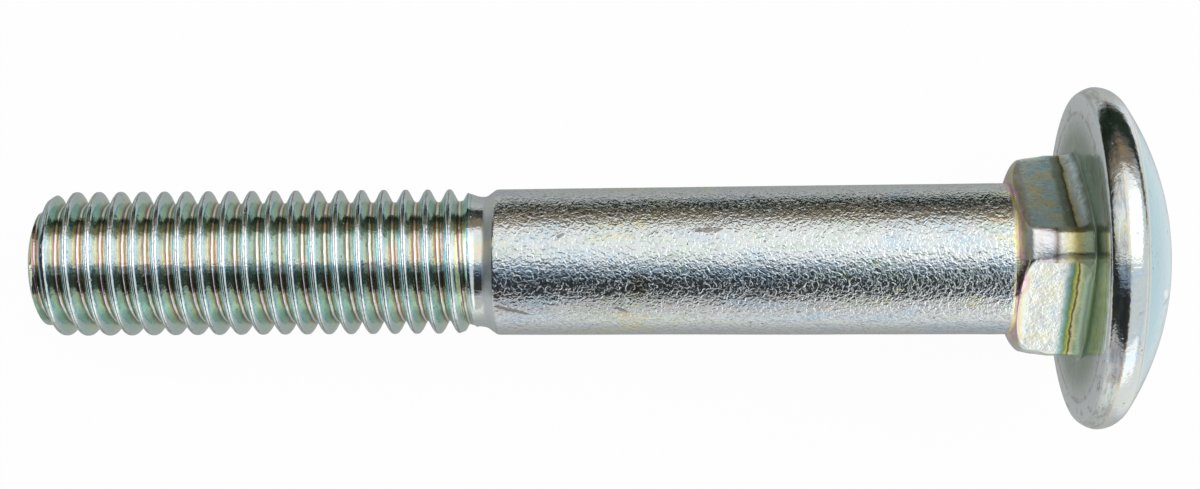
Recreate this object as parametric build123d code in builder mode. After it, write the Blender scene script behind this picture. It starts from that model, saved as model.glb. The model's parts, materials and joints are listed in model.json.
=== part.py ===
"""Carriage bolt: a domed head and a square neck forged on one end of a round shank, and a
rolled thread on the other, all one piece of steel.

Millimetres, +Z up. The bolt lies as it comes to rest on a table, which is the plane Z = 0: it
touches with the rim of the head and with the first full crest of the thread, so its axis climbs
towards the head. The axis is in the plane Y = 0 and the head is at the +X end. The origin is on
the table, under the middle of the bolt's box.

Lengths along the bolt are measured on its own axis, from the face of the threaded end.
"""
from build123d import *
from math import asin, atan2, cos, degrees, hypot, radians, sin, sqrt, tan
import os

# Thread, right-hand: a chamfered point, full crests, and a run-out where the crests fade away
PITCH = 1.5
CREST_DIAMETER = 9.82
CREST_WIDTH = 0.19
ROOT_DIAMETER = 8.2
FLANK_ANGLE = 30.0
POINT_DIAMETER = 6.1
POINT_LENGTH = 2.0
THREAD_LENGTH = 28.6
RUNOUT_LENGTH = 1.4

# Plain relief, shoulder and shank
RELIEF_DIAMETER = 8.86
RELIEF_LENGTH = 0.6
SHOULDER_LENGTH = 0.7
SHANK_DIAMETER = 10.1
SHANK_LENGTH = 34.2

# Square neck, whose corners follow a turned outline that swells quickly at the entry
NECK_LENGTH = 4.9
NECK_ACROSS_FLATS = 10.5
NECK_ENTRY_LENGTH = 1.1
NECK_ENTRY_DIAMETER = 13.2
NECK_CORNER_DIAMETER = 13.7
NECK_TURN = 10.0
NECK_FILLET = 0.6

# Head
HEAD_DIAMETER = 23.06
HEAD_LENGTH = 5.9
RIM_LENGTH = 2.2
RIM_ROUNDING = 1.6
EDGE_FILLET = 0.25

# How deep the thread's ridge is sunk into its core, and how far a cutter runs past what it cuts
RIDGE_SINK = 0.15
OVERRUN = 0.3

# Stations along the bolt
runout_end = THREAD_LENGTH + RUNOUT_LENGTH
shoulder_start = runout_end + RELIEF_LENGTH
shank_start = shoulder_start + SHOULDER_LENGTH
neck_start = shank_start + SHANK_LENGTH
bearing_face = neck_start + NECK_LENGTH
rim_middle = bearing_face + RIM_LENGTH / 2
dome_start = bearing_face + RIM_LENGTH
bolt_length = bearing_face + HEAD_LENGTH

crest_radius = CREST_DIAMETER / 2
root_radius = ROOT_DIAMETER / 2
point_radius = POINT_DIAMETER / 2
relief_radius = RELIEF_DIAMETER / 2
shank_radius = SHANK_DIAMETER / 2
entry_radius = NECK_ENTRY_DIAMETER / 2
corner_radius = NECK_CORNER_DIAMETER / 2
head_radius = HEAD_DIAMETER / 2

# The rim bulges as an arc about a circle inside the head, and ends in two equal edges
rim_centre_radius = head_radius - RIM_ROUNDING
rim_edge_radius = rim_centre_radius + sqrt(RIM_ROUNDING**2 - (RIM_LENGTH / 2) ** 2)

# The dome is part of a sphere that is centred on the axis
dome_height = bolt_length - dome_start
dome_sphere = (rim_edge_radius**2 + dome_height**2) / (2 * dome_height)
dome_centre = bolt_length - dome_sphere

# At rest the bolt stands on the front edge of the first full crest underneath, just behind the
# point, and on the bulge of the rim
resting_crest = POINT_LENGTH + CREST_WIDTH
contact = resting_crest - CREST_WIDTH / 2
contact_to_rim = rim_middle - contact
rim_above_crest = rim_centre_radius - crest_radius
tilt = atan2(rim_above_crest, contact_to_rim) + asin(
    RIM_ROUNDING / hypot(rim_above_crest, contact_to_rim)
)
point_height = crest_radius * cos(tilt) - contact * sin(tilt)
left_reach = point_radius * sin(tilt)
right_reach = dome_centre * cos(tilt) + dome_sphere
point_offset = (left_reach - right_reach) / 2

along = Vector(cos(tilt), 0, sin(tilt))
point_centre = Vector(point_offset, 0, point_height)
bolt_axis = Axis(point_centre, along)
# Local X runs along the bolt, and local Y is the distance from its axis
long_section = Plane(origin=point_centre, x_dir=along, z_dir=(0, -1, 0))

# The helix is centred on the ridge at the root. It starts on the upper side, clear of the point,
# and ends inside the shank
helix_start = resting_crest + PITCH / 2 - 3 * PITCH
helix_length = shank_start + PITCH - helix_start
helix_centre = point_centre + along * helix_start
core_start = helix_start - PITCH
core_length = helix_length + 2 * PITCH
ridge_base = root_radius - RIDGE_SINK
half_crest = CREST_WIDTH / 2
half_base = half_crest + (crest_radius - ridge_base) * tan(radians(FLANK_ANGLE))

# Two cutters shape the ends of the thread: cones that start beyond the crests
cutter_radius = crest_radius + OVERRUN
core_radius_cut = root_radius - OVERRUN
point_slope = (crest_radius - point_radius) / POINT_LENGTH
runout_slope = (crest_radius - relief_radius) / RUNOUT_LENGTH

with BuildPart() as point_cutter:
    with BuildSketch(long_section):
        with BuildLine():
            Polyline(
                (core_start - OVERRUN, 0),
                (0, 0),
                (0, point_radius),
                (POINT_LENGTH + OVERRUN / point_slope, cutter_radius),
                (core_start - OVERRUN, cutter_radius),
                close=True,
            )
        make_face()
    revolve(axis=bolt_axis)

with BuildPart() as runout_cutter:
    with BuildSketch(long_section):
        with BuildLine():
            Polyline(
                (THREAD_LENGTH - OVERRUN / runout_slope, cutter_radius),
                (THREAD_LENGTH + (crest_radius - core_radius_cut) / runout_slope, core_radius_cut),
                (core_start + core_length + OVERRUN, core_radius_cut),
                (core_start + core_length + OVERRUN, cutter_radius),
                close=True,
            )
        make_face()
    revolve(axis=bolt_axis)

with BuildPart() as thread:
    with BuildSketch(Plane(origin=point_centre + along * core_start, z_dir=along)):
        Circle(root_radius)
    extrude(amount=core_length)
    with BuildLine() as helix:
        Helix(PITCH, helix_length, root_radius, center=helix_centre, direction=along)
    helix_point = helix.line @ 0
    ridge_section = Plane(helix_point, x_dir=helix_point - helix_centre, z_dir=helix.line % 0)
    with BuildSketch(ridge_section):
        with BuildLine():
            Polyline(
                (-RIDGE_SINK, -half_base),
                (crest_radius - root_radius, -half_crest),
                (crest_radius - root_radius, half_crest),
                (-RIDGE_SINK, half_base),
                close=True,
            )
        make_face()
    sweep(path=helix.line, is_frenet=True)
    add(point_cutter.part, mode=Mode.SUBTRACT)
    add(runout_cutter.part, mode=Mode.SUBTRACT)

# The neck is a square bar inside the turned outline, with one corner near the top
with BuildPart() as neck:
    with BuildSketch(Plane(point_centre + along * neck_start, x_dir=(0, 1, 0), z_dir=along)):
        Rectangle(NECK_ACROSS_FLATS, NECK_ACROSS_FLATS, rotation=45 - NECK_TURN)
    extrude(amount=NECK_LENGTH)
    with BuildSketch(long_section):
        with BuildLine():
            EllipticalCenterArc(
                center=(neck_start + NECK_ENTRY_LENGTH, shank_radius),
                x_radius=NECK_ENTRY_LENGTH,
                y_radius=entry_radius - shank_radius,
                start_angle=90,
                arc_size=90,
            )
            Polyline(
                (neck_start, shank_radius),
                (neck_start, 0),
                (bearing_face, 0),
                (bearing_face, corner_radius),
                (neck_start + NECK_ENTRY_LENGTH, entry_radius),
            )
        make_face()
    revolve(axis=bolt_axis, mode=Mode.INTERSECT)

with BuildPart() as carriage_bolt:
    # Plain part. Its first cone rises out of the thread's core, where the crests start to fade
    root_slope = (relief_radius - root_radius) / RUNOUT_LENGTH
    with BuildSketch(long_section):
        with BuildLine():
            Polyline(
                (THREAD_LENGTH - PITCH, 0),
                (THREAD_LENGTH - PITCH, root_radius - PITCH * root_slope),
                (runout_end, relief_radius),
                (shoulder_start, relief_radius),
                (shank_start, shank_radius),
                (neck_start, shank_radius),
                (neck_start, 0),
                close=True,
            )
        make_face()
    revolve(axis=bolt_axis)
    # Head
    with BuildSketch(long_section):
        with BuildLine():
            Polyline((bolt_length, 0), (bearing_face, 0), (bearing_face, rim_edge_radius))
            ThreePointArc(
                (bearing_face, rim_edge_radius),
                (rim_middle, head_radius),
                (dome_start, rim_edge_radius),
            )
            RadiusArc((dome_start, rim_edge_radius), (bolt_length, 0), dome_sphere)
        make_face()
    revolve(axis=bolt_axis)
    add(neck.part)
    # The neck flows into the bearing face, and both edges of the rim are blunt
    bearing = carriage_bolt.faces().filter_by(bolt_axis).sort_by(bolt_axis)[-1]
    dome_edge = carriage_bolt.edges().filter_by(GeomType.CIRCLE).sort_by(bolt_axis)[-1]
    fillet([bearing.outer_wire().edge(), dome_edge], EDGE_FILLET)
    bearing = carriage_bolt.faces().filter_by(bolt_axis).sort_by(bolt_axis)[-1]
    fillet(bearing.inner_wires()[0].edges(), NECK_FILLET)
    add(thread.part)

carriage_bolt.part.label = "carriage_bolt"
os.makedirs("parts", exist_ok=True)
export_step(carriage_bolt.part, "parts/carriage_bolt.step")
print(f"bolt {bolt_length:.1f} mm long, its axis climbs {degrees(tilt):.4f} degrees")
print(f"face of the threaded end is centred at x {point_offset:.4f}, z {point_height:.4f}")
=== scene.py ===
"""Zinc-plated carriage bolt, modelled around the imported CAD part, on a plain studio table.

Lengths are in metres. The bolt is shaped upright in its own bench position: its axis is X, the
face of the threaded end is at X = 0, the side that will face up is +Z. It is then laid down in the
CAD part's place. A station is a distance along the bolt from the face of the threaded end, and
a turn is an angle about its axis, from the upper side towards -Y.
"""
import json
import math

import bmesh
import bpy
from bpy.props import FloatProperty, FloatVectorProperty, PointerProperty
from mathutils import Matrix, Vector, noise


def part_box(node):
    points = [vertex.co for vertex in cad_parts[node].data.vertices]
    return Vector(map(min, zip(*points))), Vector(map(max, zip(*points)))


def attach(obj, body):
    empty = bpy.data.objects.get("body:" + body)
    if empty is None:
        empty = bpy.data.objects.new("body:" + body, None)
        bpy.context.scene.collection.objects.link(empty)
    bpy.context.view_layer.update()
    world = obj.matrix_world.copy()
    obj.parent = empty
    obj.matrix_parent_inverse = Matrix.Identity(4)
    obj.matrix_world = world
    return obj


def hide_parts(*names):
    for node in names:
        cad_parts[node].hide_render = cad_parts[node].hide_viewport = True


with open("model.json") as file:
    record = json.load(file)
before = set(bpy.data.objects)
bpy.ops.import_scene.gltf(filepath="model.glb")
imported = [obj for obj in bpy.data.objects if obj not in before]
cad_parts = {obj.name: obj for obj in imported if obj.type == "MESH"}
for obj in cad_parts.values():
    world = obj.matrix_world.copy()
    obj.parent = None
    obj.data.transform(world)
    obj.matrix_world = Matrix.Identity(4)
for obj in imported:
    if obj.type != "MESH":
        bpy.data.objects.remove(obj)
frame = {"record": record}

bl_info = {
    "name": "Carriage Bolt",
    "version": (1, 0, 0),
    "blender": (4, 5, 0),
    "location": "View3D > Sidebar > Bolt",
    "description": "Models a zinc-plated carriage bolt and a studio table to show it on",
    "category": "Add Mesh",
}

MM = 0.001
PER_MM = 1 / MM
NODE = "carriage_bolt"

# What the frame says: the bolt's axis, its shank and the plane under its head
MOUNTS = {mount["name"]: mount for mount in frame["record"]["mounts"]}
AXIS = -Vector(MOUNTS["shank"]["axis"])
TILT = math.atan2(AXIS.z, AXIS.x)
SHANK_MIDDLE = Vector(MOUNTS["shank"]["pos_m"])
SHANK_RADIUS = MOUNTS["shank"]["dims"]["r_mm"] * MM
SHANK_LENGTH = MOUNTS["shank"]["dims"]["length_mm"] * MM
BEARING_POINT = Vector(MOUNTS["bearing_face"]["pos_m"])
BOX_LOW, BOX_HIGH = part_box(NODE)
HEAD_RADIUS = (BOX_HIGH.y - BOX_LOW.y) / 2
FLOOR_HEIGHT = BOX_LOW.z

# Thread: the ridge's shape, and where its crest crosses the upper side
FLANK_ANGLE = math.radians(28)
UPPER_CREST = 2.94 * MM
SEAM_DEPTH = 0.035 * MM
SEAM_HALF_WIDTH = 0.022 * MM

# Neck: how a corner strip meets the flats, and how its fillet widens beside the corners
EDGE_TURN = math.radians(0.55)
FILLET_AT_CORNER = 0.4
FILLET_SPREAD = math.radians(14)

# How finely the surface is divided
COLUMNS = 180
COLUMN_TURN = 2 * math.pi / COLUMNS
QUARTER = COLUMNS // 4
STRIP_COLUMNS = 6
MERGE_DISTANCE = 0.002 * MM

# Plating: how deep the crinkles and dents are, and two colours that come back in several places
RELIEF_DEPTH = 0.062 * MM
# BRIGHT is bare bright zinc, and on the thread's crest it is also a painted highlight
BRIGHT = (0.93, 0.93, 0.94)
AMBER = (0.94, 0.58, 0.18)

# Studio: how far the soft lights hang from the middle of the table
LIGHT_DISTANCE = 0.6


def length(name, description, millimetres, precision=5):
    """A length that a user may change."""
    return FloatProperty(
        name=name, description=description,
        default=millimetres * MM, precision=precision, unit="LENGTH",
    )


def tint(name, description, colour):
    """A colour that a user may change."""
    return FloatVectorProperty(
        name=name, description=description, subtype="COLOR", default=colour, min=0, max=1
    )


class BoltSizes(bpy.types.PropertyGroup):
    """Sizes of the bolt that a user may change."""

    pitch: length("Pitch", "Distance from one crest of the thread to the next", 1.5)
    crest_diameter: length("Crest Diameter", "Diameter over the crests of the thread", 9.82)
    crest_width: length("Crest Width", "Width of a crest", 0.31)
    root_diameter: length("Root Diameter", "Diameter at the bottom of the thread", 8.08)
    point_diameter: length("Point Diameter", "Diameter over the first, partial crest", 7.5)
    point_rounding: length("Point Rounding", "How far the edge of the threaded end is rounded", 0.7)
    point_root_depth: length("Point Root Depth", "How much deeper the first root is", 0.6)
    point_root_length: length("Point Root Length", "Length over which the root is deeper", 2.3)
    point_length: length("Point Length", "Length over which the crests grow to full height", 2.0)
    thread_length: length("Thread Length", "Length of the thread with its point and run-out", 30)
    runout_length: length("Run-out Length", "Length over which the crests fade out", 1.4)
    relief_diameter: length("Relief Diameter", "Diameter of the groove behind the thread", 8.86)
    relief_length: length("Relief Length", "Length of the groove behind the thread", 0.6)
    shoulder_length: length("Shoulder Length", "Length of the cone between groove and shank", 0.7)
    shank_taper: length("Shank Taper", "How much thicker the shank is at the neck end", 0.16)
    neck_across_flats: length("Neck Across Flats", "Distance between opposite flats", 10.5)
    neck_entry_length: length("Neck Entry Length", "Length over which the neck swells out", 0.80)
    neck_entry_diameter: length("Neck Entry Diameter", "Diameter over corners where it begins", 12.96)
    neck_corner_diameter: length("Neck Corner Diameter", "Diameter over corners at the head", 13.5)
    neck_bulge: length("Neck Bulge", "How far the front of a corner bulges", 0.15)
    neck_setback: length("Neck Setback", "How far behind the shank's end the neck swells", 0.28)
    neck_offset: length("Neck Offset", "How far the neck stands off the bolt's axis, sideways", 0.2)
    neck_turn: FloatProperty(
        name="Neck Turn", description="How far one corner of the neck is turned from the top",
        default=math.radians(8), subtype="ANGLE", unit="ROTATION",
    )
    neck_fillet: length("Neck Fillet", "Radius between the neck and the underside", 1.1)
    head_length: length("Head Length", "From the underside to the top of the dome", 5.9)
    rim_length: length("Rim Length", "Length of the bulging rim of the head", 2.4)
    rim_crease: length("Rim Crease", "How far the crease round the rim is from the underside", 1.0)
    rim_rounding: length("Rim Rounding", "Radius of the rim's bulge", 1.6)
    edge_rounding: length("Edge Rounding", "How far the blunt edges of the rim reach", 0.22)
    lean: length("Lean", "How far the shank stands off the thread's axis, sideways", 0.06)
    unevenness: length("Unevenness", "How far the forged surface wanders", 0.012, precision=6)


class PlatingColours(bpy.types.PropertyGroup):
    """Colours of the plating that a user may change."""

    zinc: tint("Zinc", "Bare bright zinc", (0.70, 0.72, 0.71))
    blue: tint("Blue Tint", "Where the passivated film looks blue", (0.50, 0.66, 0.76))
    straw: tint("Straw Tint", "Where the passivated film looks yellow", (0.78, 0.73, 0.44))
    rose: tint("Rose Tint", "Where the passivated film looks pink", (0.78, 0.58, 0.66))
    green: tint("Green Tint", "Where the passivated film looks green", (0.52, 0.72, 0.62))
    grime: tint("Grime", "Scuffs and pits in the plating", (0.20, 0.18, 0.16))


# ---------------------------------------------------------------- working in edit mode


class Stations:
    """Where the parts of the bolt start and end, measured from the face of the threaded end."""

    def __init__(self, sizes):
        self.runout_end = sizes.thread_length
        self.shoulder_start = self.runout_end + sizes.relief_length
        self.shank_start = self.shoulder_start + sizes.shoulder_length
        self.shank_end = self.shank_start + SHANK_LENGTH
        shank_middle = self.shank_start + SHANK_LENGTH / 2
        self.bearing_face = shank_middle + (BEARING_POINT - SHANK_MIDDLE).dot(AXIS)
        self.rim_end = self.bearing_face + sizes.rim_length
        self.bolt_length = self.bearing_face + sizes.head_length
        self.threaded_end = SHANK_MIDDLE - AXIS * shank_middle


def deselect_all():
    """Leaves nothing selected, so that an operator acts only on what comes next."""
    if bpy.context.object and bpy.context.object.mode != "OBJECT":
        bpy.ops.object.mode_set(mode="OBJECT")
    bpy.ops.object.select_all(action="DESELECT")


def edit():
    bpy.ops.object.mode_set(mode="EDIT")
    bpy.ops.mesh.select_mode(type="VERT")


def leave_edit():
    bpy.ops.object.mode_set(mode="OBJECT")


def on_bench(station, radius, turn):
    """A point of the bolt in its bench position."""
    return Vector((station, -radius * math.sin(turn), radius * math.cos(turn)))


def turn_of(point):
    return math.atan2(-point.y, point.z)


def loft(rings):
    """Adds a circle and extrudes it through rings, each a list of one point per column."""
    deselect_all()
    bpy.ops.mesh.primitive_circle_add(vertices=COLUMNS, radius=MM, fill_type="NOTHING")
    piece = bpy.context.object
    edit()
    mesh = bmesh.from_edit_mesh(piece.data)
    column = mesh.verts.layers.int.new("column")
    for number, vertex in enumerate(mesh.verts):
        vertex[column] = number
    for number, points in enumerate(rings):
        if number:
            bpy.ops.mesh.extrude_region_move()
            mesh = bmesh.from_edit_mesh(piece.data)
            column = mesh.verts.layers.int["column"]
        for vertex in mesh.verts:
            if vertex.select:
                vertex.co = points[vertex[column]]
    mesh.verts.layers.int.remove(column)
    bmesh.update_edit_mesh(piece.data)
    leave_edit()
    return piece


def round_ring(station, radius):
    return [on_bench(station, radius, column * COLUMN_TURN) for column in range(COLUMNS)]


# ---------------------------------------------------------------- thread


def turn_outline(sizes):
    """One turn of the thread from root to root: offsets from the middle of the crest, and radii."""
    crest = sizes.crest_diameter / 2
    root = sizes.root_diameter / 2
    half_crest = sizes.crest_width / 2
    depth = crest - root
    flank = depth * math.tan(FLANK_ANGLE)
    foot = half_crest + flank
    half_root = sizes.pitch / 2 - foot
    seam = [
        (0, crest - SEAM_DEPTH),
        (SEAM_HALF_WIDTH, crest - 0.3 * SEAM_DEPTH),
        (2.2 * SEAM_HALF_WIDTH, crest),
    ]
    blunt_crest = [
        (0.55 * half_crest, crest - 0.008 * MM),
        (0.85 * half_crest, crest - 0.03 * MM),
        (half_crest + 0.04 * flank, crest - 0.08 * MM),
    ]
    straight = [(half_crest + part * flank, crest - part * depth) for part in (0.2, 0.5, 0.8)]
    round_root = [
        (half_crest + 0.93 * flank, crest - 0.92 * depth),
        (foot + 0.35 * half_root, root + 0.02 * MM),
        (sizes.pitch / 2, root),
    ]
    half = seam + blunt_crest + straight + round_root
    return [(-offset, radius) for offset, radius in reversed(half[1:])] + half


def ridge_limits(sizes, station, runout_end):
    """Least and greatest radius of the thread at a station, at its point and in its run-out."""
    crest = sizes.crest_diameter / 2
    root = sizes.root_diameter / 2
    point = sizes.point_diameter / 2
    relief = sizes.relief_diameter / 2
    grown = min(station / sizes.point_length, 1)
    greatest = point + (crest - point) * math.sin(grown * math.pi / 2) ** 1.1
    blunt = max(1 - station / sizes.point_rounding, 0)
    greatest -= sizes.point_rounding * blunt**2
    sunk = max(1 - station / sizes.point_root_length, 0)
    least = min(root - sizes.point_root_depth * sunk**2, greatest)
    faded = 1 - (runout_end - station) / sizes.runout_length
    if faded > 0:
        greatest = crest + (relief - crest) * faded
        least = root + (relief - root) * faded
    return least, greatest


def add_thread(sizes, runout_end):
    """The thread, as one turn's outline swept round the axis, with its point and its run-out."""
    outline = turn_outline(sizes)
    turns_before = math.ceil(UPPER_CREST / sizes.pitch) + 1
    first_crest = UPPER_CREST - turns_before * sizes.pitch
    turns = math.ceil((runout_end - first_crest) / sizes.pitch) + 1
    points = [Vector((first_crest + offset, 0, radius)) for offset, radius in outline]

    deselect_all()
    bpy.ops.mesh.primitive_plane_add(size=MM)
    piece = bpy.context.object
    edit()
    bpy.ops.mesh.select_all(action="SELECT")
    bpy.ops.mesh.merge(type="CENTER")
    bpy.ops.transform.translate(value=points[0])
    for here, after in zip(points, points[1:]):
        bpy.ops.mesh.extrude_vertices_move(TRANSFORM_OT_translate={"value": after - here})
    leave_edit()

    bpy.ops.object.modifier_add(type="SCREW")
    sweep = piece.modifiers[-1]
    sweep.axis = "X"
    sweep.screw_offset = sizes.pitch
    sweep.iterations = turns
    sweep.steps = COLUMNS
    sweep.render_steps = COLUMNS
    bpy.ops.object.modifier_apply(modifier=sweep.name)

    root = sizes.root_diameter / 2
    for vertex in piece.data.vertices:
        turn = turn_of(vertex.co)
        station = min(max(vertex.co.x, 0), runout_end)
        least, greatest = ridge_limits(sizes, station, runout_end)
        radius = math.hypot(vertex.co.y, vertex.co.z)
        radius = max(min(radius - max(root - least, 0), greatest), least)
        if station in (0, runout_end):
            radius = greatest
            turn = round(turn / COLUMN_TURN) * COLUMN_TURN
        vertex.co = on_bench(station, radius, turn)
    return piece


# ---------------------------------------------------------------- shank, neck and head


def arc_steps(count):
    """Angles from 0 to a quarter turn in equal steps."""
    return [step * math.pi / 2 / count for step in range(count + 1)]


def smooth_corner(before, corner, after):
    """Points of a blunt edge between two points, drawn towards the corner that it replaces."""
    steps = 3
    points = []
    for step in range(steps + 1):
        along = step / steps
        left = 1 - along
        points.append(before * left**2 + corner * 2 * along * left + after * along**2)
    return points


def shank_radius(sizes, station, shank_start):
    """The shank thickens evenly towards the neck, and has its true radius part of the way."""
    along = (station - shank_start) / SHANK_LENGTH
    true_at = 0.65
    return SHANK_RADIUS + sizes.shank_taper * (along - true_at)


def strip_half_turn(radius, half_flat):
    """Half the turn of a corner strip of the neck, where its turned outline has that radius."""
    if radius <= half_flat:
        return math.pi / 4
    return math.pi / 4 - math.acos(half_flat / radius)


def neck_ring(sizes, station, radius, offset=0.0, gather=1.0, shift=0.0, bulge=0.0):
    """A ring of the square neck: flats cut into a turned outline, whose columns gather at the
    edges of the flats. An offset moves the outline outwards, and a bulge swells its corners."""
    half_flat = sizes.neck_across_flats / 2
    strip = strip_half_turn(radius, half_flat)
    edge = min(EDGE_TURN, (math.pi / 4 - strip) / 2)
    first_column = round(-sizes.neck_turn / COLUMN_TURN)
    flat_steps = QUARTER - 2 * STRIP_COLUMNS - 2
    ring = [None] * COLUMNS
    for number in range(COLUMNS):
        quarter, step = divmod(number, QUARTER)
        if step <= STRIP_COLUMNS:
            turn = (strip - edge) * step / STRIP_COLUMNS
        elif step <= QUARTER - STRIP_COLUMNS - 1:
            flat_turn = math.pi / 2 - 2 * (strip + edge)
            turn = strip + edge + flat_turn * (step - STRIP_COLUMNS - 1) / flat_steps
        else:
            turn = math.pi / 2 - (strip - edge) * (QUARTER - step) / STRIP_COLUMNS
        turn = turn * gather + step * COLUMN_TURN * (1 - gather)
        from_flat = turn - math.pi / 4
        flat_reach = half_flat / math.cos(from_flat)
        on_flat = flat_reach < radius
        reach = min(radius, flat_reach)
        from_corner = min(turn, math.pi / 2 - turn)
        if from_corner < strip:
            reach += bulge * (1 - (from_corner / strip) ** 2)
        corner_turn = quarter * math.pi / 2 - sizes.neck_turn
        point = on_bench(station, reach, corner_turn + turn)
        point.y += shift
        facing = corner_turn + (math.pi / 4 if on_flat else turn)
        spread = min(max(from_corner - strip, 0) / FILLET_SPREAD, 1)
        share = FILLET_AT_CORNER + (1 - FILLET_AT_CORNER) * spread
        point += on_bench(0, offset * share, facing)
        ring[(first_column + number) % COLUMNS] = point
    return ring


def plain_rings(sizes, stations):
    """Rings of the relief, the shoulder, the shank and the neck, up to the bearing face."""
    relief = sizes.relief_diameter / 2
    runout_end = stations.runout_end
    shank_start = stations.shank_start
    shank_end = stations.shank_end
    front = shank_radius(sizes, shank_start, shank_start)
    back = shank_radius(sizes, shank_end, shank_start)
    blunt = 0.18 * MM
    ring_spacing = 0.75 * MM
    gather_length = 1.5 * MM
    neck_steps = 14

    profile = [Vector((runout_end, relief)), Vector((runout_end + 0.2 * MM, relief - 0.02 * MM))]
    foot = Vector((stations.shoulder_start, relief))
    top = Vector((shank_start, front))
    up = (top - foot).normalized()
    profile += smooth_corner(foot - Vector((blunt, 0)), foot, foot + up * blunt)
    profile += smooth_corner(top - up * blunt, top, top + Vector((blunt, 0)))
    rings = [round_ring(station, radius) for station, radius in profile]

    plain_end = shank_end - gather_length
    count = round((plain_end - shank_start) / ring_spacing)
    step_length = (plain_end - shank_start - blunt) / count
    for step in range(1, count + 1):
        station = shank_start + blunt + step * step_length
        rings.append(round_ring(station, shank_radius(sizes, station, shank_start)))

    for gather in (0.25, 0.5, 0.75, 1.0):
        station = plain_end + gather * (gather_length - 0.05 * MM)
        rings.append(neck_ring(sizes, station, back, gather=gather))
    swell = sizes.neck_entry_diameter / 2 - back
    entry_start = shank_end + sizes.neck_setback
    for turned in arc_steps(16):
        station = entry_start + sizes.neck_entry_length * (1 - math.cos(turned)) ** 0.7
        radius = back + swell * math.sin(turned)
        shift = sizes.neck_offset * math.sin(turned)
        rings.append(neck_ring(sizes, station, radius, shift=shift))

    entry_end = entry_start + sizes.neck_entry_length
    shift = sizes.neck_offset
    fillet_start = stations.bearing_face - sizes.neck_fillet
    grow = (sizes.neck_corner_diameter - sizes.neck_entry_diameter) / 2
    for step in range(1, neck_steps + 1):
        along = step / neck_steps
        station = entry_end + (fillet_start - entry_end) * along
        risen = min(max((along - 0.25) / 0.4, 0), 1)
        radius = sizes.neck_entry_diameter / 2 + grow * risen * risen * (3 - 2 * risen)
        bulge = sizes.neck_bulge * math.sin(math.pi * min(along / 0.55, 1))
        rings.append(neck_ring(sizes, station, radius, shift=shift, bulge=bulge))
    corner = sizes.neck_corner_diameter / 2
    for turned in arc_steps(6)[1:]:
        station = fillet_start + sizes.neck_fillet * math.sin(turned)
        offset = sizes.neck_fillet * (1 - math.cos(turned))
        rings.append(neck_ring(sizes, station, corner, offset, shift=shift))
    return rings


def head_rings(sizes, stations):
    """Rings of the head, from its flat underside round the rim and up to the top of the dome."""
    bearing_face = stations.bearing_face
    rim_centre = Vector((bearing_face + sizes.rim_length / 2, HEAD_RADIUS - sizes.rim_rounding))
    half_bulge = math.asin(sizes.rim_length / 2 / sizes.rim_rounding)
    edge_radius = rim_centre.y + sizes.rim_rounding * math.cos(half_bulge)
    height = stations.bolt_length - stations.rim_end
    sphere = (edge_radius**2 + height**2) / (2 * height)
    half_dome = math.asin(edge_radius / sphere)
    blunt = sizes.edge_rounding
    crease_depth = 0.03 * MM
    crease_width = 0.32 * MM
    clear_of_neck = 1.4 * MM
    flat_steps = 5
    bulge_steps = 14
    dome_steps = 22

    def on_bulge(turned):
        point = rim_centre + sizes.rim_rounding * Vector((math.sin(turned), math.cos(turned)))
        past_crease = (point.x - bearing_face - sizes.rim_crease) / crease_width
        point.y += crease_depth * math.exp(-(past_crease**2)) - crease_depth
        return point

    def on_dome(turned):
        drop = sphere * (1 - math.cos(turned))
        return Vector((stations.bolt_length - drop, sphere * math.sin(turned)))

    bulge_step = blunt / sizes.rim_rounding
    dome_step = blunt / sphere
    inner = sizes.neck_corner_diameter / 2 + clear_of_neck
    width = edge_radius - blunt - inner
    profile = [
        Vector((bearing_face, inner + width * step / flat_steps)) for step in range(flat_steps + 1)
    ]
    first_edge = Vector((bearing_face, edge_radius))
    profile += smooth_corner(profile[-1], first_edge, on_bulge(bulge_step - half_bulge))[1:]
    bulge = half_bulge - bulge_step
    profile += [on_bulge(bulge * step / bulge_steps) for step in range(1 - bulge_steps, bulge_steps)]
    second_edge = Vector((stations.rim_end, edge_radius))
    profile += smooth_corner(on_bulge(bulge), second_edge, on_dome(half_dome - dome_step))
    domed = half_dome - dome_step
    profile += [on_dome(domed * (1 - step / dome_steps)) for step in range(1, dome_steps)]
    nearly_top = domed / 90
    profile.append(on_dome(nearly_top))
    return [round_ring(station, radius) for station, radius in profile]


def end_face_rings(sizes):
    """Rings of the face of the threaded end: a sheared face with a shallow dish in it."""
    point = sizes.point_diameter / 2 - sizes.point_rounding
    profile = [
        (0, point),
        (0.01 * MM, point - 0.12 * MM),
        (0.05 * MM, 0.86 * point),
        (0.16 * MM, 0.72 * point),
        (0.22 * MM, 0.5 * point),
        (0.24 * MM, 0.25 * point),
        (0.24 * MM, 0.02 * point),
    ]
    return [round_ring(station, radius) for station, radius in profile]


def close_pole(piece, station):
    """Gathers the smallest ring of the piece into one point on the axis."""
    reach = 0.15 * MM
    depth = 0.5 * MM
    deselect_all()
    bpy.context.view_layer.objects.active = piece
    piece.select_set(True)
    edit()
    bpy.ops.mesh.select_all(action="DESELECT")
    mesh = bmesh.from_edit_mesh(piece.data)
    for vertex in mesh.verts:
        on_axis = math.hypot(vertex.co.y, vertex.co.z) < reach
        vertex.select = on_axis and abs(vertex.co.x - station) < depth
    bmesh.update_edit_mesh(piece.data)
    bpy.ops.mesh.merge(type="CENTER")
    leave_edit()


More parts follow.
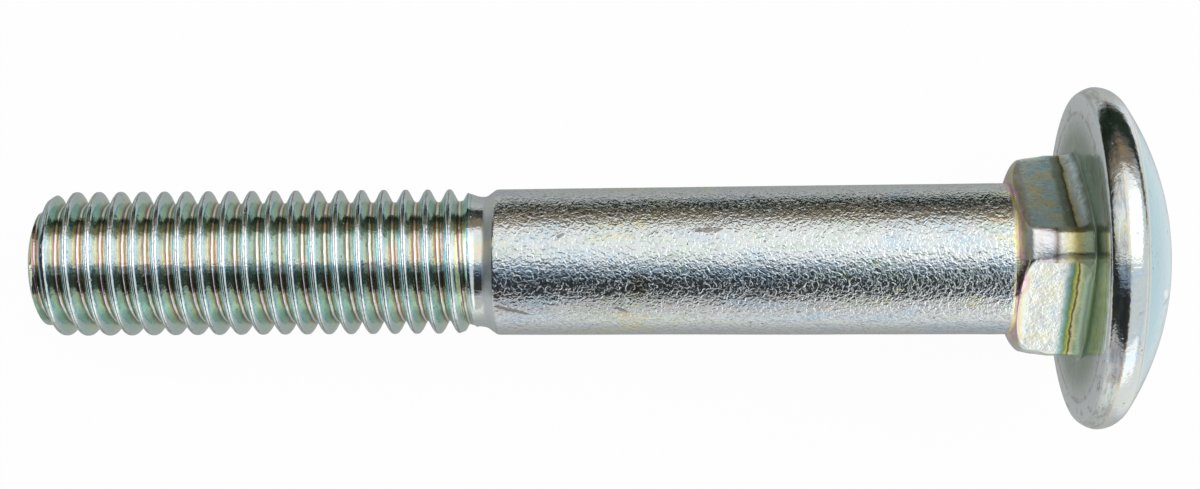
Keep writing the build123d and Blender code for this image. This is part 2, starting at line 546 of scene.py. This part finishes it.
def wander(piece, sizes, stations):
    """Stands the shank and the head a little to one side of the thread, and lets the forged
    surfaces wander, as they do on a bolt that isn't machined."""
    broad_waves = (160, 300, 300)
    close_waves = 900
    for vertex in piece.data.vertices:
        point = vertex.co
        radius = math.hypot(point.y, point.z)
        past_thread = (point.x - stations.runout_end) / sizes.relief_length
        point.y -= sizes.lean * min(max(past_thread, 0), 1)
        if point.x <= stations.shank_start or radius < MM:
            continue
        broad = noise.noise(point * Vector(broad_waves))
        close = noise.noise(point * close_waves)
        shift = sizes.unevenness * (broad + 0.45 * close)
        outward = Vector((0, point.y, point.z)) / radius
        if point.x > stations.rim_end:
            outward = Vector((1, 0, 0))
        vertex.co = point + outward * shift


def close_seams(piece):
    """Merges the joined parts into one closed skin whose faces point outwards."""
    edit()
    bpy.ops.mesh.select_all(action="SELECT")
    bpy.ops.mesh.remove_doubles(threshold=MERGE_DISTANCE)
    bpy.ops.mesh.dissolve_degenerate(threshold=0.1 * MERGE_DISTANCE)
    bpy.ops.mesh.normals_make_consistent(inside=False)
    mesh = bmesh.from_edit_mesh(piece.data)
    open_edges = sum(not edge.is_manifold for edge in mesh.edges)
    leave_edit()
    if open_edges:
        raise RuntimeError(f"the bolt's skin has {open_edges} open edges")


def lay_down(stations):
    """Turns and moves the bolt from its bench position to its place on the table."""
    return Matrix.Translation(stations.threaded_end) @ Matrix.Rotation(-TILT, 4, "Y")


class BOLT_OT_model(bpy.types.Operator):
    """Models the carriage bolt in one piece and lays it down where the CAD part lies"""

    bl_idname = "bolt.model"
    bl_label = "Model the Bolt"

    def execute(self, context):
        sizes = context.scene.bolt_sizes
        stations = Stations(sizes)
        end_face = loft(end_face_rings(sizes))
        close_pole(end_face, 0)
        piece = loft(plain_rings(sizes, stations) + head_rings(sizes, stations))
        close_pole(piece, stations.bolt_length)
        wander(piece, sizes, stations)
        thread = add_thread(sizes, stations.runout_end)

        deselect_all()
        for part in (end_face, piece, thread):
            part.select_set(True)
        context.view_layer.objects.active = piece
        bpy.ops.object.join()
        piece.name = "plated_bolt"
        close_seams(piece)

        piece.matrix_world = lay_down(stations)
        bpy.ops.object.transform_apply(location=True, rotation=True, scale=True)
        bpy.ops.object.shade_smooth_by_angle(angle=math.radians(50))
        bpy.ops.object.modifier_add(type="WEIGHTED_NORMAL")
        weighting = piece.modifiers[-1]
        weighting.keep_sharp = True
        bpy.ops.object.modifier_apply(modifier=weighting.name)

        piece.data.materials.clear()
        piece.data.materials.append(zinc_plating(context.scene, stations))
        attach(piece, "root")
        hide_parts(NODE)
        return {"FINISHED"}


# ---------------------------------------------------------------- the plating


class Recipe:
    """The nodes of a material or a world, with short calls that add one and return its output."""

    def __init__(self, owner):
        self.owner = owner
        owner.use_nodes = True
        self.tree = owner.node_tree
        self.tree.nodes.clear()

    def add(self, kind, inputs=(), **settings):
        node = self.tree.nodes.new(kind)
        for setting, value in settings.items():
            setattr(node, setting, value)
        for socket, value in dict(inputs).items():
            if isinstance(value, bpy.types.NodeSocket):
                self.tree.links.new(value, node.inputs[socket])
            else:
                node.inputs[socket].default_value = value
        return node

    def math(self, operation, *values, clamp=False):
        inputs = dict(enumerate(values))
        return self.add("ShaderNodeMath", inputs, operation=operation, use_clamp=clamp).outputs[0]

    def plus(self, value, addend):
        return self.math("ADD", value, addend)

    def minus(self, value, taken):
        return self.math("SUBTRACT", value, taken)

    def times(self, value, factor):
        return self.math("MULTIPLY", value, factor)

    def times_plus(self, value, factor, addend):
        return self.math("MULTIPLY_ADD", value, factor, addend)

    def noise(self, vector, scale, detail=2.0, roughness=0.5, distortion=0.0):
        inputs = {
            "Vector": vector, "Scale": scale, "Detail": detail,
            "Roughness": roughness, "Distortion": distortion,
        }
        return self.add("ShaderNodeTexNoise", inputs).outputs["Fac"]

    def step_up(self, value, low, high):
        """0 below low, 1 above high, and smooth between."""
        inputs = {"Value": value, "From Min": low, "From Max": high}
        return self.add("ShaderNodeMapRange", inputs, interpolation_type="SMOOTHSTEP").outputs[0]

    def between(self, value, low, high, blur):
        """1 from low to high, fading to 0 over the blur on either side."""
        rise = self.step_up(value, low - blur, low + blur)
        fall = self.step_up(value, high - blur, high + blur)
        return self.math("SUBTRACT", rise, fall, clamp=True)

    def ramp(self, factor, stops):
        """A colour for each place from 0 to 1."""
        node = self.add("ShaderNodeValToRGB", {"Fac": factor})
        elements = node.color_ramp.elements
        while len(elements) < len(stops):
            elements.new(0.5)
        for element, (place, colour) in zip(elements, stops):
            element.position = place
            element.color = (*colour, 1)
        return node.outputs["Color"]

    def mix(self, factor, under, over, blend="MIX"):
        node = self.add("ShaderNodeMix", data_type="RGBA", blend_type=blend)
        for socket, value in ((0, factor), (6, under), (7, over)):
            if isinstance(value, bpy.types.NodeSocket):
                self.tree.links.new(value, node.inputs[socket])
            elif socket:
                node.inputs[socket].default_value = (*value, 1)
            else:
                node.inputs[socket].default_value = value
        return node.outputs[2]

    def paint(self, under, mask, share, over):
        """One colour over another, where the mask is, at most by that share."""
        return self.mix(self.times(mask, share), under, over)


class BoltSurface(Recipe):
    """A recipe that knows places on the bolt, all in millimetres: along it, across it towards +Y,
    up towards its upper side, and its radius. Facing is the angle from up towards +Y."""

    def __init__(self, scene, stations):
        super().__init__(bpy.data.materials.new("zinc_plating"))
        colours = scene.plating_colours
        self.zinc, self.blue, self.straw = map(tuple, (colours.zinc, colours.blue, colours.straw))
        self.rose, self.green, self.grime = map(tuple, (colours.rose, colours.green, colours.grime))
        self.sizes = scene.bolt_sizes
        self.runout_end = stations.runout_end * PER_MM
        self.shank_start = stations.shank_start * PER_MM
        self.shank_end = stations.shank_end * PER_MM
        self.bearing_face = stations.bearing_face * PER_MM
        self.rim_end = stations.rim_end * PER_MM

        to_bench = Matrix.Rotation(TILT, 3, "Y")
        place = {
            "Vector": self.add("ShaderNodeTexCoord").outputs["Object"],
            "Scale": (PER_MM,) * 3,
            "Rotation": (0, TILT, 0),
            "Location": -(to_bench @ (stations.threaded_end * PER_MM)),
        }
        self.placed = self.add("ShaderNodeMapping", place).outputs[0]
        parts = self.add("ShaderNodeSeparateXYZ", {0: self.placed}).outputs
        self.along, self.across, self.up = parts[0], parts[1], parts[2]
        squares = self.plus(self.times(self.across, self.across), self.times(self.up, self.up))
        self.radius = self.math("SQRT", squares)
        self.facing = self.math("ARCTAN2", self.across, self.up)

        neck = (self.shank_end + 0.05, self.bearing_face - 0.05)
        self.on_neck = self.between(self.along, *neck, 0.1)
        self.on_back = self.step_up(self.across, -0.1, 0.1)

    def drawn(self, lengthways, sideways, scale, *detail):
        """A noise pattern whose coordinates are multiplied along the bolt and across it."""
        inputs = {0: self.placed, 1: (lengthways, sideways, sideways)}
        vector = self.add("ShaderNodeVectorMath", inputs, operation="MULTIPLY").outputs[0]
        return self.noise(vector, scale, *detail)


def blend_colours(first, second, amount):
    return tuple(a + (b - a) * amount for a, b in zip(first, second))


def drifting_film(surface, fleck):
    """Broad drifts of blue, green, straw and rose over the bare zinc."""
    zinc = surface.zinc
    drift = surface.drawn(0.16, 0.5, 1.0, 3.0, 0.6, 0.4)
    film = surface.plus(surface.times(drift, 0.7), surface.times(fleck, 0.3))
    return surface.ramp(film, [
        (0.30, surface.blue), (0.42, blend_colours(zinc, surface.blue, 0.4)), (0.50, zinc),
        (0.57, blend_colours(zinc, surface.green, 0.35)),
        (0.63, blend_colours(zinc, surface.straw, 0.6)),
        (0.72, blend_colours(zinc, surface.rose, 0.5)),
    ])


def thread_film_and_painted_light(surface):
    """The film on the thread, whose colours follow it round the bolt: from 0 in the middle of
    a root, up one flank to 0.5 in the middle of the crest, and down the other to 1. Partly painted
    light: the crest is painted bright as a highlight, with dark lines at its seam as painted
    reflections, and the thread's sides are darkened as painted shade."""
    pitch = surface.sizes.pitch * PER_MM
    turns = surface.math("DIVIDE", surface.minus(surface.along, UPPER_CREST * PER_MM), pitch)
    turns = surface.plus(turns, surface.math("DIVIDE", surface.facing, 2 * math.pi))
    waver = surface.times(surface.minus(surface.noise(surface.placed, 1.3, 3.0), 0.5), 0.07)
    phase = surface.math("FRACT", surface.plus(surface.plus(turns, waver), 100.5))
    sky = (0.08, 0.50, 0.78)
    plum = (0.34, 0.08, 0.24)
    # Painted light in these ramps: the crest, from about 0.44 to 0.55, is painted bright as a
    # highlight, with dark lines at its seam as painted reflections.
    warm = surface.ramp(phase, [
        (0.000, (0.96, 0.93, 0.88)), (0.030, AMBER), (0.070, (0.42, 0.34, 0.22)),
        (0.120, (0.86, 0.90, 0.88)), (0.300, (0.86, 0.94, 0.96)), (0.345, sky), (0.375, sky),
        (0.410, (0.80, 0.92, 0.95)), (0.440, BRIGHT), (0.495, BRIGHT),
        (0.508, (0.32, 0.16, 0.08)), (0.525, (0.06, 0.08, 0.40)), (0.545, BRIGHT),
        (0.600, (0.98, 0.98, 0.98)), (0.660, (0.90, 0.98, 0.98)), (0.740, (0.96, 1.0, 0.90)),
        (0.830, (0.96, 0.94, 0.56)), (0.880, (0.62, 0.50, 0.26)), (0.915, plum),
        (0.950, (0.75, 0.60, 0.72)), (0.975, (0.97, 0.96, 0.97)),
    ])
    cool = surface.ramp(phase, [
        (0.000, (0.95, 0.95, 0.93)), (0.030, (0.85, 0.80, 0.40)), (0.070, (0.20, 0.26, 0.22)),
        (0.140, (0.56, 0.70, 0.66)), (0.340, (0.62, 0.82, 0.80)), (0.372, (0.20, 0.60, 0.78)),
        (0.410, BRIGHT), (0.490, (0.90, 0.91, 0.92)), (0.510, (0.30, 0.26, 0.24)),
        (0.530, BRIGHT), (0.620, (0.92, 0.95, 0.95)), (0.700, (0.78, 0.92, 0.92)),
        (0.820, (0.82, 0.92, 0.82)), (0.880, (0.40, 0.52, 0.38)), (0.925, (0.28, 0.24, 0.26)),
        (0.960, (0.88, 0.90, 0.90)),
    ])
    patchy = surface.step_up(surface.drawn(0.22, 0.35, 1.0, 2.0), 0.42, 0.60)
    film = surface.paint(warm, patchy, 0.75, cool)
    # Painted light: a band of the thread that faces up, a little towards +Y, keeps its full colour as
    # a painted gleam, and its sides are darkened with a teal tint as painted shade.
    polish_and_painted_gleam = surface.between(surface.facing, -0.10, 0.50, 0.18)
    film = surface.mix(surface.minus(1.0, polish_and_painted_gleam), film, (0.74, 0.85, 0.81), "MULTIPLY")
    scored = surface.step_up(surface.drawn(9.0, 3.0, 1.0, 4.0, 0.7), 0.50, 0.60)
    worn = surface.times(surface.between(phase, 0.42, 0.60, 0.03), scored)
    return surface.paint(film, worn, 0.6, blend_colours(surface.grime, surface.zinc, 0.35))


def neck_film_and_painted_light(surface, body):
    """The body's colour with the neck's, where the film is thickest. Its colours bend round the
    swelling. The front and the back flat differ as lit and shaded copies of one film, which is
    painted light, and each flat changes at its foot by the head. The corner that faces up has
    painted reflections along it."""
    along, shank_end, bearing_face = surface.along, surface.shank_end, surface.bearing_face
    entry = surface.between(along, shank_end - 0.05, shank_end + 1.0, 0.15)
    swirl = surface.minus(surface.drawn(1.0, 0.6, 0.8, 2.0), 0.5)
    swirl = surface.times_plus(swirl, 1.2, along)
    swollen = surface.ramp(surface.step_up(swirl, shank_end - 0.2, shank_end + 1.0), [
        (0.00, surface.zinc), (0.16, (0.86, 0.80, 0.36)), (0.34, (0.84, 0.60, 0.62)),
        (0.52, (0.66, 0.48, 0.58)), (0.70, (0.62, 0.60, 0.34)), (1.00, surface.zinc),
    ])
    body = surface.mix(entry, body, swollen)

    mottle = surface.noise(surface.placed, 0.9, 4.0, 0.65)
    # Painted light: the back and the front flat are lit and shaded copies of one film, with the back
    # flat's colours raised to stand in for light that it doesn't reflect.
    back = surface.ramp(mottle, [
        (0.34, (0.60, 0.88, 0.95)), (0.46, (0.78, 0.97, 0.98)), (0.54, (0.84, 0.95, 0.80)),
        (0.64, (0.95, 0.93, 0.62)),
    ])
    front = surface.ramp(mottle, [
        (0.34, (0.66, 0.80, 0.84)), (0.45, (0.90, 0.97, 0.92)), (0.55, (0.94, 0.98, 0.86)),
        (0.66, (0.90, 0.93, 0.66)),
    ])
    flats = surface.mix(surface.on_back, front, back)

    foot = bearing_face - surface.sizes.neck_fillet * PER_MM
    ragged = surface.times_plus(surface.minus(mottle, 0.5), 0.5, along)
    # Each flat's foot is also a lit or shaded copy, with bands of colour that end darker in the
    # corner by the head.
    back_foot = surface.ramp(surface.step_up(ragged, foot - 0.5, bearing_face - 0.1), [
        (0.00, (0.42, 0.50, 0.40)), (0.22, (0.16, 0.14, 0.08)), (0.34, (0.92, 0.88, 0.45)),
        (0.55, (0.92, 0.97, 0.97)), (0.85, (0.70, 0.86, 0.86)), (1.0, (0.20, 0.24, 0.20)),
    ])
    front_foot = surface.ramp(surface.step_up(ragged, foot - 0.9, bearing_face - 0.1), [
        (0.00, (0.84, 0.88, 0.84)), (0.18, (0.30, 0.52, 0.50)), (0.34, (0.20, 0.36, 0.14)),
        (0.50, (0.66, 0.64, 0.16)), (0.58, (0.06, 0.06, 0.04)), (0.68, (0.72, 0.74, 0.40)),
        (0.85, (0.34, 0.46, 0.30)), (1.0, (0.30, 0.40, 0.30)),
    ])
    feet = surface.mix(surface.on_back, front_foot, back_foot)
    flats = surface.mix(surface.step_up(ragged, foot - 0.9, foot - 0.5), flats, feet)

    # The strip along the uppermost corner: partly film tints, partly painted reflections, as bands of
    # light and dark along the one corner that faces up
    at_corner = surface.step_up(surface.radius, 6.28, 6.36)
    on_strip = surface.times(at_corner, surface.step_up(surface.up, 6.0, 6.2))
    strip = surface.ramp(surface.step_up(ragged, shank_end + 1.0, bearing_face - 0.4), [
        (0.00, (0.94, 0.92, 0.90)), (0.24, (0.88, 0.86, 0.90)), (0.38, (0.34, 0.28, 0.24)),
        (0.52, (0.92, 0.90, 0.82)), (0.72, (0.86, 0.80, 0.46)), (0.90, (0.40, 0.34, 0.12)),
        (1.00, (0.24, 0.30, 0.20)),
    ])
    flats = surface.mix(on_strip, flats, strip)
    past_entry = surface.math("SUBTRACT", surface.on_neck, entry, clamp=True)
    return surface.mix(past_entry, body, flats)


def head_film_and_painted_light(surface, body):
    """The body's colour with the head's: a scuffed underside, painted dark green near the neck as
    painted shade and pale outwards as a painted gleam, a rim with a crease, whose inner facet is
    rubbed grey, a thin dark yellow line along the rim's outer edge as a painted reflection, and an
    even pale teal dome."""
    along, bearing_face, rim_end = surface.along, surface.bearing_face, surface.rim_end
    underside = surface.between(along, bearing_face - 0.06, bearing_face + 0.06, 0.02)
    # Painted light: the underside is painted dark green in the corner by the neck as painted shade,
    # and pale outwards as a painted gleam.
    outwards = surface.step_up(surface.radius, 7.6, 10.4)
    painted_shade_and_gleam = surface.mix(outwards, (0.20, 0.30, 0.20), (0.78, 0.85, 0.85))
    body = surface.mix(underside, body, painted_shade_and_gleam)
    ringed = surface.times(surface.between(surface.radius, 9.55, 9.85, 0.06), 0.14)
    scuffs = surface.plus(surface.drawn(1.0, 0.8, 1.3, 5.0, 0.75), ringed)
    scuffs = surface.times(underside, surface.step_up(scuffs, 0.56, 0.64))
    body = surface.paint(body, scuffs, 0.55, surface.grime)

    crease = bearing_face + surface.sizes.rim_crease * PER_MM
    streaks = surface.drawn(3.0, 0.5, 1.2, 4.0, 0.7)
    on_facet = surface.between(along, bearing_face + 0.12, crease, 0.06)
    rubbed = surface.times(on_facet, surface.step_up(streaks, 0.38, 0.62))
    body = surface.paint(body, rubbed, 0.50, surface.grime)
    fringe = surface.between(along, crease + 0.02, crease + 0.12, 0.05)
    body = surface.paint(body, surface.times(fringe, streaks), 0.7, AMBER)
    # Painted reflection: a thin dark yellow line along the rim's outer edge.
    painted_edge_reflection = surface.between(along, rim_end - 0.04, rim_end + 0.06, 0.04)
    body = surface.paint(body, painted_edge_reflection, 0.6, (0.50, 0.42, 0.20))
    on_dome = surface.step_up(along, rim_end, rim_end + 0.3)
    return surface.paint(body, on_dome, 0.9, (0.38, 0.60, 0.67))


def pits(surface):
    """1 in small pits, which come in groups."""
    voronoi = {"Vector": surface.placed, "Scale": 1.15}
    spots = surface.add("ShaderNodeTexVoronoi", voronoi).outputs["Distance"]
    pitted = surface.minus(1.0, surface.step_up(spots, 0.05, 0.11))
    return surface.times(pitted, surface.step_up(surface.noise(surface.placed, 0.8, 2.0), 0.5, 0.6))


def dirt(surface, pitted):
    """Strong in pits, and fainter where the surface is rubbed, which the head is most."""
    bearing_face = surface.bearing_face
    on_head = surface.step_up(surface.along, bearing_face - 0.05, bearing_face + 0.05)
    rubbed = surface.step_up(surface.drawn(0.9, 0.55, 1.2, 5.0, 0.72), 0.58, 0.70)
    rubbed = surface.times(rubbed, surface.plus(surface.times(on_head, 0.5), 0.2))
    return surface.math("MAXIMUM", surface.times(pitted, 0.8), surface.times(rubbed, 0.8))


def add_marks(surface, body):
    """The body's colour with marks of use on the upper side of the shank, and a nick in the dome."""
    wobble = surface.noise(surface.placed, 2.2, 4.0, 0.7)
    on_top = surface.step_up(surface.up, 0.5, 1.0)

    def marks(*places):
        """Ragged spots, each with its station, its offset towards +Y, half its length, half its
        width and its slant."""
        covered = 0.0
        for station, offset, half_length, half_width, slant in places:
            lengthways = surface.minus(surface.along, station)
            sideways = surface.minus(surface.across, offset)
            sideways = surface.times_plus(lengthways, -slant, sideways)
            lengthways = surface.math("DIVIDE", lengthways, half_length)
            sideways = surface.math("DIVIDE", sideways, half_width)
            distance = surface.times(lengthways, lengthways)
            distance = surface.times_plus(sideways, sideways, distance)
            distance = surface.times_plus(surface.minus(wobble, 0.5), 5.0, distance)
            spot = surface.times(surface.step_up(distance, 1.2, 0.6), on_top)
            covered = surface.math("MAXIMUM", covered, spot)
        return covered

    scratched = marks(
        (32.5, -3.15, 1.0, 0.12, -0.25), (39.8, -3.15, 0.5, 0.12, -0.4),
        (35.75, 1.75, 0.45, 0.14, 0.5), (45.4, 2.1, 1.1, 0.2, 0.0), (74.9, -2.6, 0.5, 0.12, 0.6),
    )
    stained = marks((41.0, -1.5, 0.55, 0.8, 0.0))
    polish_and_painted_gleam = marks((35.9, -1.9, 0.55, 0.35, 0.0), (74.7, -2.2, 0.28, 0.3, 0.0))
    body = surface.paint(body, scratched, 0.75, surface.grime)
    body = surface.paint(body, stained, 0.6, (0.36, 0.32, 0.20))
    return surface.paint(body, polish_and_painted_gleam, 0.7, BRIGHT)


def zinc_plating(scene, stations):
    """Bright zinc with a thin passivated film, dimpled by forging, tinted along the thread, with
    painted highlights, reflections and shade on the thread, the neck and the head.
    """
    surface = BoltSurface(scene, stations)
    placed, along, shank_start = surface.placed, surface.along, surface.shank_start
    on_shank = surface.between(along, shank_start, surface.shank_end, 0.1)
    on_shoulder = surface.between(along, shank_start - 0.75, shank_start - 0.05, 0.05)
    on_back_flats = surface.times(surface.on_neck, surface.on_back)
    on_thread = surface.between(along, -1, surface.runout_end - 0.3, 0.3)
    end_face_edge = (3.1, 3.4)
    on_thread = surface.times(on_thread, surface.step_up(surface.radius, *end_face_edge))

    fleck = surface.noise(placed, 2.6, 3.0, 0.6)
    pitted = pits(surface)
    dirty = dirt(surface, pitted)
    body = surface.mix(on_thread, drifting_film(surface, fleck), thread_film_and_painted_light(surface))
    body = head_film_and_painted_light(surface, neck_film_and_painted_light(surface, body))
    body = add_marks(surface, surface.mix(dirty, body, surface.grime))

    # Speckle: the crinkled skin of the shank, which is faint elsewhere
    crinkle = surface.noise(placed, 4.0, 1.2, 0.5, 0.8)
    grains = surface.plus(surface.times(on_shank, 0.80), 0.20)
    grains = surface.times_plus(on_back_flats, 0.35, grains)
    darker = surface.times(surface.step_up(crinkle, 0.47, 0.36), grains)
    body = surface.paint(body, darker, 0.30, blend_colours(surface.grime, surface.blue, 0.3))

    # Relief: the same crinkles, dents of the forging, a fine grain and the pits
    dents = surface.noise(placed, 1.1, 2.0, 0.5)
    grain = surface.noise(placed, 12.0, 3.0, 0.6)
    height = surface.plus(surface.times(crinkle, grains), surface.times(dents, 0.45))
    height = surface.plus(height, surface.times(grain, 0.05))
    height = surface.minus(height, surface.times(pitted, 0.7))
    relief = {"Height": height, "Strength": 1.0, "Distance": RELIEF_DEPTH}
    bump = surface.add("ShaderNodeBump", relief).outputs[0]

    dull = surface.plus(surface.times_plus(dirty, 0.25, 0.09), surface.times(fleck, 0.10))
    dull = surface.times_plus(on_back_flats, 0.26, dull)
    dull = surface.times_plus(on_shoulder, 0.25, dull)
    finish = {"Base Color": body, "Roughness": dull, "Metallic": 1.0, "Normal": bump}
    shader = surface.add("ShaderNodeBsdfPrincipled", finish)
    surface.add("ShaderNodeOutputMaterial", {"Surface": shader.outputs[0]})
    return surface.owner


# ---------------------------------------------------------------- the studio


def table_top():
    """A white table that keeps a faint shadow. Metal sees it shaded close to the bolt."""
    shaded_aside = 64 * MM
    shaded_past_head = 12 * MM
    recipe = Recipe(bpy.data.materials.new("table_white"))
    paths = recipe.add("ShaderNodeLightPath").outputs
    place = recipe.add("ShaderNodeTexCoord").outputs["Object"]
    parts = recipe.add("ShaderNodeSeparateXYZ", {0: place}).outputs
    aside = recipe.step_up(recipe.math("ABSOLUTE", parts[1]), 0.0, shaded_aside)
    past_head = recipe.step_up(parts[0], BOX_HIGH.x, BOX_HIGH.x + shaded_past_head)
    away = recipe.math("MAXIMUM", aside, past_head)
    reflected = recipe.times_plus(away, 0.56, 0.40)
    reflected = recipe.math("MAXIMUM", reflected, paths["Is Camera Ray"])
    seen = recipe.math("MAXIMUM", paths["Is Camera Ray"], paths["Is Glossy Ray"])
    seen = recipe.math("MAXIMUM", seen, paths["Is Transmission Ray"])
    glow = recipe.add("ShaderNodeEmission", {"Color": (1, 1, 1, 1), "Strength": reflected})
    matt = recipe.add("ShaderNodeBsdfDiffuse", {"Color": (0.85, 0.85, 0.85, 1)})
    share = recipe.times(seen, 0.97)
    mixed = recipe.add("ShaderNodeMixShader", {0: share, 1: matt.outputs[0], 2: glow.outputs[0]})
    recipe.add("ShaderNodeOutputMaterial", {"Surface": mixed.outputs[0]})
    return recipe.owner


def card_finish(name, colour):
    recipe = Recipe(bpy.data.materials.new(name))
    glow = recipe.add("ShaderNodeEmission", {"Color": (*colour, 1), "Strength": 1.0})
    recipe.add("ShaderNodeOutputMaterial", {"Surface": glow.outputs[0]})
    return recipe.owner


def only_reflected(item):
    """The item shows in the metal and nowhere else."""
    item.visible_camera = False
    item.visible_diffuse = False
    item.visible_shadow = False
    item.visible_transmission = False
    item.visible_volume_scatter = False


def lay_card(name, x_range, y_range, height, colour):
    """A card that lies level over the table, in the given ranges of X and Y."""
    deselect_all()
    middle = ((x_range[0] + x_range[1]) / 2, (y_range[0] + y_range[1]) / 2, height)
    bpy.ops.mesh.primitive_plane_add(size=1, location=middle)
    card = bpy.context.object
    card.name = name
    card.scale = (x_range[1] - x_range[0], y_range[1] - y_range[0], 1)
    bpy.ops.object.transform_apply(location=True, rotation=True, scale=True)
    card.data.materials.append(card_finish(name, colour))
    only_reflected(card)


def strip_light(name, start, end, colour, radiance, left=-0.7, right=0.7):
    """A soft light along the bolt. It fills the sky from one angle to another, measured from
    straight up towards +Y, in degrees."""
    run = right - left
    middle = math.radians((start + end) / 2)
    width = 2 * LIGHT_DISTANCE * math.tan(math.radians((end - start) / 2))
    data = bpy.data.lights.new(name, "AREA")
    data.shape = "RECTANGLE"
    data.size = run
    data.size_y = width
    data.color = colour
    data.energy = radiance * math.pi * run * width
    light = bpy.data.objects.new(name, data)
    bpy.context.scene.collection.objects.link(light)
    aside = LIGHT_DISTANCE * math.sin(middle)
    light.location = ((left + right) / 2, aside, LIGHT_DISTANCE * math.cos(middle))
    light.rotation_euler = (-middle, 0, 0)
    light.visible_camera = False


def room(scene):
    """White where the camera looks past the table. The metal sees it dim, but for the window that
    the head faces."""
    world = bpy.data.worlds.new("studio_room")
    scene.world = world
    recipe = Recipe(world)
    direction = recipe.add("ShaderNodeTexCoord").outputs["Generated"]
    parts = recipe.add("ShaderNodeSeparateXYZ", {0: direction}).outputs
    window = recipe.step_up(parts[0], 0.12, 0.27)
    window = recipe.times(window, recipe.step_up(parts[1], 0.80, 0.45))
    seen = recipe.mix(window, (0.035, 0.037, 0.04), (0.78, 0.82, 0.84))
    camera = recipe.add("ShaderNodeLightPath").outputs["Is Camera Ray"]
    shown = recipe.mix(camera, seen, (1.0, 1.0, 1.0))
    backdrop = recipe.add("ShaderNodeBackground", {"Color": shown, "Strength": 1.0})
    recipe.add("ShaderNodeOutputWorld", {"Surface": backdrop.outputs[0]})


def add_camera(scene):
    """Looks almost straight down at the bolt, from a little left of its middle."""
    data = bpy.data.cameras.new("camera")
    data.lens = 63.18
    data.sensor_width = 36
    data.clip_start = 0.01
    data.clip_end = 20
    camera = bpy.data.objects.new("camera", data)
    scene.collection.objects.link(camera)
    camera.location = (-9.461 * MM, 3.796 * MM, 151.015 * MM)
    camera.rotation_euler = (math.radians(-1.057), math.radians(-3.89), math.radians(-0.42))
    scene.camera = camera


class BOLT_OT_stage(bpy.types.Operator):
    """Sets up the white table, the dark card, the soft lights, the room and the camera"""

    bl_idname = "bolt.stage"
    bl_label = "Set the Stage"

    def execute(self, context):
        scene = context.scene
        deselect_all()
        bpy.ops.mesh.primitive_plane_add(size=4, location=(0, 0, FLOOR_HEIGHT))
        table = context.object
        table.name = "table"
        bpy.ops.object.transform_apply(location=True, rotation=True, scale=True)
        table.data.materials.append(table_top())

        lay_card("dark_card", (-1.0, 1.0), (33 * MM, 1.0), 0.5 * MM, (0.02, 0.03, 0.02))
        strip_light("main_light", -1, 62, (1.0, 1.0, 1.0), 1.05, left=-0.62, right=1.2)
        strip_light("left_light", -1, 62, (1.0, 1.0, 1.0), 0.75, left=-1.3, right=-0.62)
        strip_light("warm_edge", 63, 83, (1.0, 0.74, 0.45), 0.26)
        strip_light("blue_fill", -17, -2, (0.52, 0.75, 1.0), 0.42, right=0.14)
        strip_light("side_fill", -89, -59, (1.0, 0.95, 0.95), 0.62)
        room(scene)
        add_camera(scene)
        scene.view_settings.view_transform = "Standard"
        return {"FINISHED"}


class BOLT_PT_panel(bpy.types.Panel):
    """Lists what makes the bolt, its sizes and its colours"""

    bl_idname = "BOLT_PT_panel"
    bl_label = "Carriage Bolt"
    bl_space_type = "VIEW_3D"
    bl_region_type = "UI"
    bl_category = "Bolt"

    def draw(self, context):
        layout = self.layout
        layout.operator(BOLT_OT_model.bl_idname)
        layout.operator(BOLT_OT_stage.bl_idname)
        for settings in (context.scene.bolt_sizes, context.scene.plating_colours):
            column = layout.box().column()
            for setting in settings.__annotations__:
                column.prop(settings, setting)


CLASSES = (BoltSizes, PlatingColours, BOLT_OT_model, BOLT_OT_stage, BOLT_PT_panel)


def register():
    for kind in CLASSES:
        bpy.utils.register_class(kind)
    bpy.types.Scene.bolt_sizes = PointerProperty(type=BoltSizes)
    bpy.types.Scene.plating_colours = PointerProperty(type=PlatingColours)


def unregister():
    del bpy.types.Scene.plating_colours
    del bpy.types.Scene.bolt_sizes
    for kind in reversed(CLASSES):
        bpy.utils.unregister_class(kind)


def main():
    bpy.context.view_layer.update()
    register()
    bpy.ops.bolt.model()
    bpy.ops.bolt.stage()


if __name__ == "__main__":
    main()
